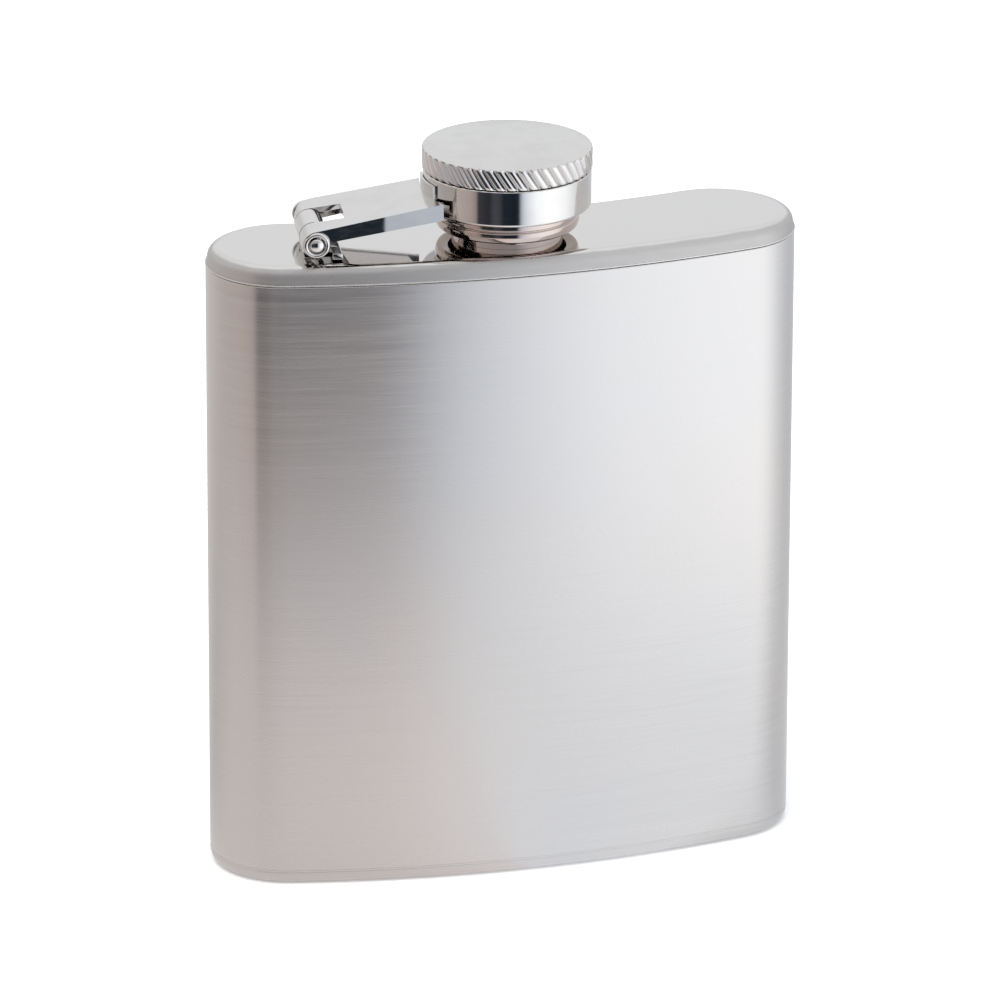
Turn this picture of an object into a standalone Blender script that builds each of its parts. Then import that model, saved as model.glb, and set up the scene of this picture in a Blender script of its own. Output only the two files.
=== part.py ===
"""Stainless hip flask: kidney-section body, turned neck, and a screw cap held captive by a hinged strap.

Metres, +Z up. The origin is on the underside, at the centre of the footprint. The convex front faces -Y
and the hinge is on the -X side of the neck.
"""
import math

import bmesh
import bpy
from mathutils import Vector

# ---- body ----
BODY_WIDTH = 0.0940
BODY_DEPTH = 0.0250          # front face to back face, measured on the centre line
BODY_HEIGHT = 0.1015
FRONT_RADIUS = 0.1680        # convex front
BACK_RADIUS = 0.1600         # concave back
WALL = 0.0006                # sheet thickness
# The upper plate's edge, from its flat face to the rim, as (offset from the outline, depth from the face).
SHOULDER_SECTION = ((0.0023, 0.0), (0.0015, 0.00015), (0.0008, 0.00055), (0.0004, 0.0011),
                    (0.00015, 0.0022))
SHOULDER_INSIDE = ((0.0015, 0.0016), (0.0023, 0.0006))
SHOULDER_SEAM = 0.0028       # the upper weld line's distance below the plate's face
FOOT_RADIUS = 0.0018         # rounding round the lower plate's rim
FOOT_SEAM = 0.0021           # the lower weld line's distance above the underside
RIM_LIP = 0.0020             # how far a plate's rim reaches inside the shell

# ---- clearances ----
GAP = 0.0003                 # between pieces that touch or are welded
RUNNING_GAP = 0.0003         # between pieces that turn on each other

# ---- neck; heights are above the top plate ----
NECK_Y = -0.00106
NECK_RADIUS = 0.0080         # thread root
THREAD_CREST = 0.0085
THREAD_ROOT_HALF = 0.0006    # half the ridge's width at its root
THREAD_CREST_HALF = 0.0002   # and at its crest
THREAD_PITCH = 0.0020
THREAD_TURNS = 3
THREAD_START = 0.0030
BORE_RADIUS = 0.0070
NECK_TOP = 0.0094
NECK_SHANK = 0.0020          # length of the neck below the plate's top face
NECK_FOOT_RADIUS = 0.0086    # plain foot below the thread, resting on the plate
NECK_FOOT_TOP = 0.0019
NECK_FOOT_ROUND = 0.0003
NECK_LIP_ROUND = 0.0004
NECK_BORE_CHAMFER = 0.0002

# ---- cap ----
CAP_RADIUS = 0.01320         # over the knurl
KNURL_DEPTH = 0.0004
KNURL_COUNT = 46
KNURL_LEAN = math.radians(34)
CAP_BOTTOM = 0.0108
CAP_EDGE = 0.0142            # top of the knurl
CAP_DOME = 0.0003            # rise of the top face at its centre
EDGE_ROUND = 0.00035
RING_RADIUS = 0.01305
RING_BOTTOM = 0.0049
RING_BORE = 0.0109
SLEEVE_RADIUS = 0.0106
SLEEVE_BORE = 0.0098
SLEEVE_BOTTOM = 0.0016
SLEEVE_FLANGE_RADIUS = 0.0113
SLEEVE_TOP = 0.0123
FLANGE_PULL_IN = 0.0003      # how much narrower the flange is at its lower edge
FLANGE_ROUND_HEIGHT = 0.0022
FLANGE_ROLL = 0.0002
SEAL_RADIUS = 0.00945
SEAL_THICKNESS = 0.00125
SEAL_TOP = 0.0110

# ---- hinge and strap ----
HINGE_TURN = math.radians(-8)  # the hinge stands square to the body's curve
PIN_X = -0.0313
PIN_HEIGHT = 0.0032          # axis above the top plate
PIN_RADIUS = 0.0011
PIN_HEAD = 0.00045           # how far the domed ends stand out of the strap
PIN_HALF = 0.0084            # half the pin's length between its domed ends
EYE_RADIUS = 0.00215
STRAP_HALF_AT_PIN = 0.0083
STRAP_HALF_AT_CAP = 0.0068   # the sides carried on to the cap's axis
STRAP_TILT = math.radians(7.1)
STRAP_SHEET = 0.0008
LIP_AT_PIN = 0.00215         # depth of the folded edges
LIP_AT_CAP = 0.0029
# The folded edge on the concave side is deeper, between these (distance from the pin, depth) points.
BACK_LIP = ((0.0018, 0.0033), (0.0170, 0.0026))
STRAP_END_RADIUS = 0.026     # the hollow end that faces the collar ring
BACK_CORNER_RADIUS = 0.0042  # rounding of the hinge end's corner on the concave side
SLOT_WIDTH = 0.0070
SLOT_REACH = 0.0052          # from the pin's axis to the slot's closed end
TAB_HALF_ANGLE = math.radians(18)
TAB_THICKNESS = 0.0006
TAB_TOP = 0.0098
KNUCKLE_RADIUS = 0.0022
LEAF_BOTTOM = GAP - PIN_HEIGHT
LEAF_HEEL = 0.0013           # how far the leaf's flat underside runs back past the pin's axis
FOOT_LENGTH = 0.0042         # from the pin's axis to the foot's end
FOOT_THICKNESS = 0.0010
FOOT_CHAMFER = 0.0003
FOOT_WIDE_START = 0.0026     # where the foot widens, clear of the turning eyes
FOOT_WIDE_HALF = 0.0068
CURL_SLIT = 0.0004           # between the curled leaf's end and its foot
CURL_BORE_START = 0.1        # radians past the bottom of the bore
CURL_BORE_STOP = 0.5         # radians short of closing
EAR_ROLL_END = math.radians(215)

# ---- mesh steps ----
FACE_STEPS = 14              # along the front, and along the back
END_STEPS = 16               # round each end of the outline
ROUND_STEPS = 48             # round a turned piece
FOOT_STEPS = 5
EYE_STEPS = 24
BISECTION_STEPS = 60


# ---------------------------------------------------------------- helpers

def clear_scene():
    for obj in list(bpy.data.objects):
        bpy.data.objects.remove(obj, do_unlink=True)


def make_material(name, colour, roughness, metallic):
    material = bpy.data.materials.new(name)
    material.use_nodes = True
    shader = material.node_tree.nodes["Principled BSDF"]
    shader.inputs["Base Color"].default_value = (*colour, 1.0)
    shader.inputs["Roughness"].default_value = roughness
    shader.inputs["Metallic"].default_value = metallic
    return material


def add_object(name, bm, material, parent=None, smooth_angle=35):
    """Makes an object of the mesh, with its faces turned outwards and its soft edges shaded smooth."""
    bmesh.ops.recalc_face_normals(bm, faces=bm.faces)
    mesh = bpy.data.meshes.new(name)
    bm.to_mesh(mesh)
    bm.free()
    mesh.shade_smooth()
    mesh.set_sharp_from_angle(angle=math.radians(smooth_angle))
    obj = bpy.data.objects.new(name, mesh)
    bpy.context.collection.objects.link(obj)
    if material:
        obj.data.materials.append(material)
    if parent:
        obj.parent = parent
    return obj


def add_empty(name, location):
    empty = bpy.data.objects.new(name, None)
    empty.location = location
    bpy.context.collection.objects.link(empty)
    return empty


def arc(centre, radius, start, end, steps):
    """Points on an arc in a plane, from one angle to another, both ends included."""
    angles = [start + (end - start) * i / steps for i in range(steps + 1)]
    return [(centre[0] + radius * math.cos(a), centre[1] + radius * math.sin(a)) for a in angles]


def turned(profile, steps=ROUND_STEPS):
    """Spins a closed (radius, height) profile once round Z."""
    bm = bmesh.new()
    verts = [bm.verts.new((r, 0.0, z)) for r, z in profile]
    edges = [bm.edges.new((a, b)) for a, b in zip(verts, verts[1:] + verts[:1])]
    bmesh.ops.spin(bm, geom=verts + edges, cent=(0, 0, 0), axis=(0, 0, 1),
                   angle=2 * math.pi, steps=steps, use_merge=False)
    bmesh.ops.remove_doubles(bm, verts=bm.verts, dist=1e-6)
    on_axis = [e for e in bm.edges if all(v.co.xy.length < 1e-7 for v in e.verts)]
    bmesh.ops.delete(bm, geom=on_axis, context="EDGES")
    return bm


def prism(outline, y_from, y_to):
    """Extrudes an outline in the XZ plane along Y."""
    bm = bmesh.new()
    face = bm.faces.new([bm.verts.new((x, y_from, z)) for x, z in outline])
    moved = bmesh.ops.extrude_face_region(bm, geom=[face])["geom"]
    new_verts = [g for g in moved if isinstance(g, bmesh.types.BMVert)]
    bmesh.ops.translate(bm, verts=new_verts, vec=(0, y_to - y_from, 0))
    return bm


def loft(rings, close=False):
    """Skins a row of rings with equal point counts. The row closes on itself, or both ends are filled."""
    bm = bmesh.new()
    loops = [[bm.verts.new(p) for p in ring] for ring in rings]
    pairs = list(zip(loops, loops[1:]))
    if close:
        pairs.append((loops[-1], loops[0]))
    for one, two in pairs:
        for i in range(len(one)):
            j = (i + 1) % len(one)
            bm.faces.new((one[i], one[j], two[j], two[i]))
    if not close:
        bm.faces.new(loops[0])
        bm.faces.new(loops[-1])
    return bm


def boolean(obj, cutter, operation="DIFFERENCE"):
    """Adds an exact Boolean to the object and hides its tool object."""
    modifier = obj.modifiers.new(cutter.name, "BOOLEAN")
    modifier.operation = operation
    modifier.solver = "EXACT"
    modifier.object = cutter
    cutter.hide_render = True
    cutter.display_type = "WIRE"
    cutter.parent = obj.parent


# ---------------------------------------------------------------- body outline

def end_circle():
    """Centre and radius of the circle that joins the front arc to the back arc at the full width."""
    front_y = FRONT_RADIUS - BODY_DEPTH / 2
    back_y = BACK_RADIUS + BODY_DEPTH / 2
    low, high = 0.1 * BODY_DEPTH, 0.8 * BODY_DEPTH
    for _ in range(BISECTION_STEPS):
        radius = (low + high) / 2
        x = BODY_WIDTH / 2 - radius
        y = front_y - math.sqrt((FRONT_RADIUS - radius) ** 2 - x ** 2)
        if math.hypot(x, y - back_y) > BACK_RADIUS + radius:
            low = radius
        else:
            high = radius
    return x, y, radius


END_X, END_Y, END_RADIUS = end_circle()
# The outline is shifted so that its box is centred on the origin.
OUTLINE_Y = (BODY_DEPTH / 2 - END_Y - END_RADIUS) / 2


def kidney(offset, z):
    """The body's outline moved inwards by an offset, as a ring of points at one height."""
    front_y = FRONT_RADIUS - BODY_DEPTH / 2
    back_y = BACK_RADIUS + BODY_DEPTH / 2
    front_half = math.atan2(END_X, front_y - END_Y)
    back_half = math.atan2(END_X, back_y - END_Y)
    down = -math.pi / 2
    front = arc((0, front_y), FRONT_RADIUS - offset, down - front_half, down + front_half, FACE_STEPS)
    right = arc((END_X, END_Y), END_RADIUS - offset, down + front_half, -down + back_half, END_STEPS)
    back = arc((0, back_y), BACK_RADIUS + offset, down + back_half, down - back_half, FACE_STEPS)
    left = arc((-END_X, END_Y), END_RADIUS - offset, -down - back_half, -3 * down - front_half, END_STEPS)
    points = front[:-1] + right[:-1] + back[:-1] + left[:-1]
    return [(x, y + OUTLINE_Y, z) for x, y in points]


def circle_like_outline(radius, z):
    """A circle round the neck's axis whose points follow the directions of the outline's points."""
    points = []
    for x, y, _ in kidney(0.0, z):
        direction = Vector((x, y - NECK_Y, 0)).normalized()
        points.append((radius * direction.x, NECK_Y + radius * direction.y, z))
    return points


# ---------------------------------------------------------------- body

def body_shell(material):
    """The wrapped sheet: an open kidney-section tube between the two weld lines."""
    bottom = FOOT_SEAM + GAP / 2
    top = BODY_HEIGHT - SHOULDER_SEAM - GAP / 2
    bm = loft([kidney(0, bottom), kidney(0, top), kidney(WALL, top), kidney(WALL, bottom)], close=True)
    return add_object("body_shell", bm, material)


def rim_levels(seam_depth):
    """A plate's rim: out to the weld line, in by the sheet's thickness, and down inside the shell."""
    seam = seam_depth - GAP / 2
    lip_out = WALL + GAP
    lip_in = lip_out + WALL
    return [(0, seam), (lip_out, seam), (lip_out, seam + RIM_LIP), (lip_in, seam + RIM_LIP)]


def rolled_levels(radius, seam_depth):
    """A plate's section over a quarter round, as (offset from the outline, depth from the flat face)."""
    quarter = [math.pi / 2 * i / FOOT_STEPS for i in range(FOOT_STEPS + 1)]
    outer = [(radius * (1 - math.sin(t)), radius * (1 - math.cos(t))) for t in quarter]
    rim = rim_levels(seam_depth)
    inner_radius = radius - rim[-1][0]
    inner = [(radius - inner_radius * math.sin(t), WALL + inner_radius * (1 - math.cos(t)))
             for t in reversed(quarter[::2])]
    return outer + rim + inner


def top_plate(material):
    """The pressed upper plate, with the hole that the neck stands in."""
    hole = NECK_RADIUS + GAP
    rings = [circle_like_outline(hole, BODY_HEIGHT)]
    levels = [*SHOULDER_SECTION, *rim_levels(SHOULDER_SEAM), *SHOULDER_INSIDE]
    rings += [kidney(offset, BODY_HEIGHT - depth) for offset, depth in levels]
    rings.append(circle_like_outline(hole, BODY_HEIGHT - WALL))
    return add_object("top_plate", loft(rings, close=True), material)


def bottom_plate(material):
    """The pressed lower plate, whose flat underside is what the flask stands on."""
    rings = [kidney(offset, depth) for offset, depth in rolled_levels(FOOT_RADIUS, FOOT_SEAM)]
    return add_object("bottom_plate", loft(rings), material)


def neck(material):
    """The turned spout: a shank through the plate, a plain foot, and a raised thread below a plain lip."""
    foot = NECK_FOOT_ROUND
    outer = [(NECK_RADIUS, -NECK_SHANK), (NECK_RADIUS, GAP), (NECK_FOOT_RADIUS, GAP)]
    outer += arc((NECK_FOOT_RADIUS - foot, NECK_FOOT_TOP - foot), foot, 0, math.pi / 2, 3)
    outer += [(NECK_RADIUS, NECK_FOOT_TOP)]
    for turn in range(THREAD_TURNS):
        z = THREAD_START + turn * THREAD_PITCH
        outer += [(NECK_RADIUS, z - THREAD_ROOT_HALF), (THREAD_CREST, z - THREAD_CREST_HALF),
                  (THREAD_CREST, z + THREAD_CREST_HALF), (NECK_RADIUS, z + THREAD_ROOT_HALF)]
    lip = NECK_LIP_ROUND
    outer += arc((NECK_RADIUS - lip, NECK_TOP - lip), lip, 0, math.pi / 2, 3)
    inner = [(BORE_RADIUS + NECK_BORE_CHAMFER, NECK_TOP), (BORE_RADIUS, NECK_TOP - NECK_BORE_CHAMFER),
             (BORE_RADIUS, -NECK_SHANK)]
    obj = add_object("neck", turned(outer + inner), material)
    obj.location = (0, NECK_Y, BODY_HEIGHT)
    return obj


# ---------------------------------------------------------------- hinge

def hinge_base(material):
    """A leaf welded to the plate and curled round the pin, standing in the strap's slot."""
    bore = PIN_RADIUS + RUNNING_GAP
    foot_top = LEAF_BOTTOM + FOOT_THICKNESS
    down = -math.pi / 2
    curl_start = math.asin(foot_top / KNUCKLE_RADIUS)
    curl_end = math.asin((foot_top + CURL_SLIT) / KNUCKLE_RADIUS)
    outline = [(FOOT_LENGTH, LEAF_BOTTOM), (-LEAF_HEEL, LEAF_BOTTOM)]
    outline += arc((0, 0), KNUCKLE_RADIUS, -math.pi - curl_start, -2 * math.pi + curl_end, 32)
    outline += arc((0, 0), bore, down - 2 * math.pi + CURL_BORE_STOP, down - CURL_BORE_START, 28)
    outline += [(FOOT_LENGTH - FOOT_CHAMFER, foot_top), (FOOT_LENGTH, foot_top - FOOT_CHAMFER)]
    half = SLOT_WIDTH / 2 - RUNNING_GAP
    obj = add_object("hinge_base", prism(outline, -half, half), material)
    obj.location = (PIN_X, NECK_Y, BODY_HEIGHT + PIN_HEIGHT)
    obj.rotation_euler.z = HINGE_TURN
    wide = [(FOOT_WIDE_START, LEAF_BOTTOM), (FOOT_LENGTH, LEAF_BOTTOM),
            (FOOT_LENGTH, foot_top - FOOT_CHAMFER), (FOOT_LENGTH - FOOT_CHAMFER, foot_top),
            (FOOT_WIDE_START, foot_top)]
    foot = add_object("add_wide_foot", prism(wide, -FOOT_WIDE_HALF, FOOT_WIDE_HALF), None)
    foot.location = obj.location
    foot.rotation_euler = obj.rotation_euler
    boolean(obj, foot, "UNION")
    return obj


def hinge_pin(material, parent):
    """A riveted pin through both eyes, with domed ends."""
    dome = [(PIN_RADIUS * math.cos(a), PIN_HALF + PIN_HEAD * math.sin(a))
            for a in [math.pi / 2 * i / 4 for i in range(5)]]
    profile = [(r, -z) for r, z in reversed(dome)] + dome
    obj = add_object("hinge_pin", turned(profile, EYE_STEPS), material, parent)
    obj.rotation_euler = (math.pi / 2, 0, 0)
    return obj


def strap_point(along, up):
    """A point of the strap's level section, with the pin's axis at (0, 0), turned to the strap's tilt."""
    c, s = math.cos(STRAP_TILT), math.sin(STRAP_TILT)
    return (along * c - up * s, along * s + up * c)


def from_hinge(x, y):
    """A plan point, measured from the pin's middle along X and Y, in the turned hinge's own directions."""
    c, s = math.cos(HINGE_TURN), math.sin(HINGE_TURN)
    return (x * c + y * s, y * c - x * s)


def strap_plan(inset, left):
    """The strap's outline in plan, its sides moved in by an inset, its hinge end open as far as a left edge.
    The corner on the concave side is rounded."""
    reach = -PIN_X
    near, far = STRAP_HALF_AT_PIN - inset, STRAP_HALF_AT_CAP - inset
    lean = math.atan((near - far) / reach)
    points = [from_hinge(left, -near + math.tan(lean) * left)]
    points += [from_hinge(reach, -far), from_hinge(reach, far)]
    radius = BACK_CORNER_RADIUS - inset
    square = math.pi / 2 - HINGE_TURN - lean
    edge = from_hinge(0, near)
    x = BACK_CORNER_RADIUS - EYE_RADIUS
    y = edge[1] - (radius - math.cos(square) * (edge[0] - x)) / math.sin(square)
    points += arc((x, y), radius, square, math.pi, 8)
    points.append((left, y))
    return points


def plan_solid(name, points, parent):
    """A plan outline made into a solid that is taller than the strap."""
    tall = -PIN_X
    return add_object(name, loft([[(x, y, z) for x, y in points] for z in (-tall, tall)]), None, parent)


def strap_blank(parent, material):
    """The strap's outer form: eyes round the pin and a straight bar running to the cap."""
    reach = -PIN_X
    tangent = math.asin((EYE_RADIUS - LIP_AT_PIN) / EYE_RADIUS)
    section = arc((0, 0), EYE_RADIUS, math.pi / 2, 2 * math.pi + tangent, EYE_STEPS)
    section += [(reach, EYE_RADIUS - LIP_AT_CAP), (reach, EYE_RADIUS)]
    bm = prism([strap_point(*p) for p in section], -2 * PIN_HALF, 2 * PIN_HALF)
    obj = add_object("retaining_strap", bm, material, parent)
    (near_x, near_depth), (far_x, far_depth) = BACK_LIP
    lip = [(near_x, EYE_RADIUS - near_depth), (far_x, EYE_RADIUS - far_depth), (far_x, 0), (0, 0)]
    inside = STRAP_HALF_AT_PIN / 2
    bm = prism([strap_point(*p) for p in lip], inside, 2 * PIN_HALF)
    boolean(obj, add_object("add_back_lip", bm, None, parent), "UNION")
    boolean(obj, plan_solid("keep_plan", strap_plan(0, -2 * EYE_RADIUS), parent), "INTERSECT")
    return obj


def strap_channel(parent):
    """The hollow under the strap. It leaves the top sheet, two folded lips and the end rolled on the pin."""
    inner = EYE_RADIUS - STRAP_SHEET
    far = 2 * EYE_RADIUS
    section = arc((0, 0), inner, math.pi / 2, EAR_ROLL_END, 8)
    section += [(-far, -far), (-PIN_X + far, -far), (-PIN_X + far, inner)]
    bm = prism([strap_point(*p) for p in section], -2 * PIN_HALF, 2 * PIN_HALF)
    obj = add_object("cut_channel", bm, None, parent)
    boolean(obj, plan_solid("keep_channel_plan", strap_plan(STRAP_SHEET, -2 * far), parent), "INTERSECT")
    return obj


def strap_slot(parent):
    """The open slot that the knuckle stands in."""
    far = 2 * EYE_RADIUS
    section = [(-far, -far), (SLOT_REACH, -far), (SLOT_REACH, far), (-far, far)]
    half = SLOT_WIDTH / 2
    return add_object("cut_slot", prism([strap_point(*p) for p in section], -half, half), None, parent)


def strap_pin_hole(parent):
    hole = PIN_RADIUS + GAP
    bm = prism(arc((0, 0), hole, 0, 2 * math.pi * (1 - 1 / EYE_STEPS), EYE_STEPS - 1),
               -2 * PIN_HALF, 2 * PIN_HALF)
    return add_object("cut_pin_hole", bm, None, parent)


def strap_end_cut(parent):
    """Hollows the strap's end towards the collar ring."""
    radius = STRAP_END_RADIUS
    bm = bmesh.new()
    bmesh.ops.create_cone(bm, cap_ends=True, segments=2 * ROUND_STEPS, radius1=radius, radius2=radius,
                          depth=4 * CAP_EDGE)
    centre = from_hinge(-PIN_X - RING_RADIUS - GAP + radius, 0)
    bmesh.ops.translate(bm, verts=bm.verts, vec=(*centre, 0))
    return add_object("cut_end", bm, None, parent)


def strap_tab(parent):
    """The strap's end bent up against the collar ring: a sector of a thin tube."""
    inner = RING_RADIUS + GAP
    outer = inner + TAB_THICKNESS
    middle = math.pi - HINGE_TURN
    angles = (middle - TAB_HALF_ANGLE, middle + TAB_HALF_ANGLE)
    centre = from_hinge(-PIN_X, 0)
    points = arc(centre, inner, *angles, 10) + arc(centre, outer, *reversed(angles), 10)
    top = TAB_TOP - PIN_HEIGHT
    bottom = math.tan(STRAP_TILT) * (-PIN_X - outer) + EYE_RADIUS - STRAP_SHEET / 2
    bm = bmesh.new()
    face = bm.faces.new([bm.verts.new((x, y, bottom)) for x, y in points])
    moved = bmesh.ops.extrude_face_region(bm, geom=[face])["geom"]
    bmesh.ops.translate(bm, verts=[g for g in moved if isinstance(g, bmesh.types.BMVert)],
                        vec=(0, 0, top - bottom))
    return add_object("add_tab", bm, None, parent)


def retaining_strap(material, parent):
    """A folded steel arm that carries the collar ring."""
    obj = strap_blank(parent, material)
    boolean(obj, strap_channel(parent))
    boolean(obj, strap_slot(parent))
    boolean(obj, strap_pin_hole(parent))
    boolean(obj, strap_end_cut(parent))
    boolean(obj, strap_tab(parent), "UNION")
    return obj


# ---------------------------------------------------------------- cap

def collar_ring(material, parent):
    """The smooth band fixed to the strap, in which the cap turns."""
    top = CAP_BOTTOM - RUNNING_GAP
    r = EDGE_ROUND
    outer = arc((RING_RADIUS - r, RING_BOTTOM + r), r, -math.pi / 2, 0, 3)
    outer += arc((RING_RADIUS - r, top - r), r, 0, math.pi / 2, 3)
    profile = outer + [(RING_BORE, top), (RING_BORE, RING_BOTTOM)]
    obj = add_object("collar_ring", turned(profile), material, parent)
    obj.location = (*from_hinge(-PIN_X, 0), -PIN_HEIGHT)
    return obj


def cap_sleeve(material, parent):
    """The threaded inner tube. Its rolled lower flange keeps the collar ring on."""
    flange_top = RING_BOTTOM - RUNNING_GAP
    low = SLEEVE_BOTTOM + FLANGE_ROLL
    narrow = SLEEVE_FLANGE_RADIUS - FLANGE_PULL_IN
    outer = [(SLEEVE_BORE, SLEEVE_BOTTOM), (narrow - FLANGE_ROLL, SLEEVE_BOTTOM)]
    outer += [(narrow + FLANGE_PULL_IN * math.sin(a), low + FLANGE_ROUND_HEIGHT * (1 - math.cos(a)))
              for a in [math.pi / 2 * i / 5 for i in range(6)]]
    outer += [(SLEEVE_FLANGE_RADIUS, flange_top), (SLEEVE_RADIUS, flange_top), (SLEEVE_RADIUS, SLEEVE_TOP)]
    profile = outer + [(SLEEVE_BORE, SLEEVE_TOP)]
    return add_object("cap_sleeve", turned(profile), material, parent)


def cap_seal(material, parent):
    """A soft disc at the top of the sleeve that closes on the neck's lip."""
    low = SEAL_TOP - SEAL_THICKNESS
    profile = [(0, low), (SEAL_RADIUS, low), (SEAL_RADIUS, SEAL_TOP), (0, SEAL_TOP)]
    return add_object("cap_seal", turned(profile), material, parent)


def knurl_ring(z, radius, depth):
    """One ring of the knurl, turned by the grooves' lean. A depth of zero gives a plain circle."""
    steps = 3
    twist = -(z - CAP_BOTTOM) * math.tan(KNURL_LEAN) / CAP_RADIUS
    points = []
    for i in range(KNURL_COUNT * steps):
        angle = 2 * math.pi * i / (KNURL_COUNT * steps) + twist
        r = radius - (depth if i % steps == 0 else 0.0)
        points.append((r * math.cos(angle), r * math.sin(angle), z))
    return points


def cap_head(material, parent):
    """The knurled outer cap. Its ring-shaped pocket holds the sleeve, round a boss that backs the seal."""
    boss = SLEEVE_BORE - GAP
    boss_bottom = SEAL_TOP + GAP
    pocket = SLEEVE_RADIUS + GAP
    pocket_top = SLEEVE_TOP + GAP
    rim = CAP_RADIUS - KNURL_DEPTH
    rings = [knurl_ring(boss_bottom, boss, 0), knurl_ring(pocket_top, boss, 0)]
    rings += [knurl_ring(pocket_top, pocket, 0), knurl_ring(CAP_BOTTOM, pocket, 0)]
    rings += [knurl_ring(CAP_BOTTOM, rim, 0), knurl_ring(CAP_BOTTOM + EDGE_ROUND, CAP_RADIUS, KNURL_DEPTH),
              knurl_ring(CAP_EDGE - EDGE_ROUND, CAP_RADIUS, KNURL_DEPTH)]
    rings += [knurl_ring(CAP_EDGE, rim, 0), knurl_ring(CAP_EDGE + CAP_DOME, rim / 2, 0)]
    return add_object("cap_head", loft(rings), material, parent)


# ---------------------------------------------------------------- assembly

def build():
    clear_scene()
    brushed = make_material("brushed_steel", (0.62, 0.61, 0.61), 0.35, 1.0)
    polished = make_material("polished_steel", (0.75, 0.74, 0.73), 0.08, 1.0)
    silicone = make_material("silicone", (0.85, 0.85, 0.83), 0.5, 0.0)

    body_shell(brushed)
    top_plate(polished)
    bottom_plate(brushed)
    neck(polished)
    hinge_base(polished)

    strap_axis = add_empty("strap_axis", (PIN_X, NECK_Y, BODY_HEIGHT + PIN_HEIGHT))
    strap_axis.rotation_euler.z = HINGE_TURN
    hinge_pin(polished, strap_axis)
    retaining_strap(polished, strap_axis)
    collar_ring(polished, strap_axis)

    cap_axis = add_empty("cap_axis", (0, NECK_Y, BODY_HEIGHT))
    cap_sleeve(polished, cap_axis)
    cap_seal(silicone, cap_axis)
    cap_head(polished, cap_axis)


build()
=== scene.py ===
"""Looks of the brushed steel hip flask: fine shapes and procedural steels on its frame. Metres, +Z up."""
import math

import bmesh
import bpy
from mathutils import Matrix, Vector


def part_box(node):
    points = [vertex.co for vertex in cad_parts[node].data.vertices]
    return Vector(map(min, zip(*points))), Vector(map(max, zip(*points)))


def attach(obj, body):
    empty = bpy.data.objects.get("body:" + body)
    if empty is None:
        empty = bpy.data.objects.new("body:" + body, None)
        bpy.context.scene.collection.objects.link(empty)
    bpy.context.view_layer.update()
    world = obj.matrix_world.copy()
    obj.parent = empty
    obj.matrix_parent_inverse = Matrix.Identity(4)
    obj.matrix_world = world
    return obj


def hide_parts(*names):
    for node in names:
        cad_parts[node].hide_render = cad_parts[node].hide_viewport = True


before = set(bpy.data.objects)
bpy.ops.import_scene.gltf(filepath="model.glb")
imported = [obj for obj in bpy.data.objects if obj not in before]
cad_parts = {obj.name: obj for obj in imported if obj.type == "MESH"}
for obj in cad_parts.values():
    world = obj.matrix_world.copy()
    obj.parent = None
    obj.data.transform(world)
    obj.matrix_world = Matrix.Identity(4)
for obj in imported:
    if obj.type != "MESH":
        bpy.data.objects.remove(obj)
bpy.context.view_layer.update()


# ---------------------------------------------------------------- places read from the frame

def centre_of(node):
    low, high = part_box(node)
    return (low + high) / 2


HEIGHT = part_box("top_plate")[1].z                  # top face of the upper plate
HALF_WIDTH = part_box("top_plate")[1].x
CAP_AXIS = centre_of("collar_ring")
PIN_AXIS = centre_of("hinge_pin")
REACH = CAP_AXIS.x - PIN_AXIS.x                    # from the pin's axis to the cap's axis
PIN_HEIGHT = PIN_AXIS.z - HEIGHT

# ---- body ----
BODY_DEPTH = 0.0250
FRONT_RADIUS = 0.1680
BACK_RADIUS = 0.1600
WALL = 0.0006
# The upper plate's edge, from its flat face to the rim, as (offset from the outline, depth from the face).
SHOULDER_SECTION = ((0.0023, 0.0), (0.00185, 0.00004), (0.0015, 0.00015), (0.00112, 0.00032),
                    (0.0008, 0.00055), (0.00056, 0.00082), (0.0004, 0.0011), (0.00026, 0.0016),
                    (0.00015, 0.0022))
SHOULDER_INSIDE = ((0.0015, 0.0016), (0.0023, 0.0006))
SHOULDER_SEAM = 0.0028                             # the upper weld's distance below the plate's face
FOOT_RADIUS = 0.0018
FOOT_SEAM = 0.0021                                 # the lower weld's distance above the underside
WELD_GAP = 0.0003
RIM_LIP = 0.0020
POLISH_DROP = 0.0003                               # the polish ends this far below the plate's face
POLISH_EDGE = 0.00012                              # half the width over which it fades
FACE_STEPS = 72
END_STEPS = 56
FOOT_STEPS = 12

# ---- neck, ring, sleeve and cap; heights are above the plate ----
NECK_RADIUS = 0.0080
THREAD_CREST = 0.0085
THREAD_PITCH = 0.0020
THREAD_TURNS = 2.5
THREAD_START = 0.0031
BORE_RADIUS = 0.0070
NECK_TOP = 0.0094
NECK_SHANK = 0.0020
RING_RADIUS = 0.01305
RING_BORE = 0.0109
RING_BOTTOM = 0.0049
RING_TOP = 0.0107
SLEEVE_RADIUS = 0.0106
SLEEVE_BORE = 0.0098
SLEEVE_TOP = 0.0123
CAP_RADIUS = 0.0132
CAP_BOTTOM = 0.0108
CAP_EDGE = 0.0142
CAP_DOME = 0.0003
KNURL_COUNT = 46
KNURL_DEPTH = 0.0005
KNURL_LEAN = math.radians(34)
NECK_FOOT_RADIUS = 0.0086
NECK_FOOT_TOP = 0.0019
SEAL_RADIUS = 0.00945
SEAL_TOP = 0.0110
SEAL_THICKNESS = 0.00125
SEAL_RIB = 0.0002                                  # how far the sealing rib stands out

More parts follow.
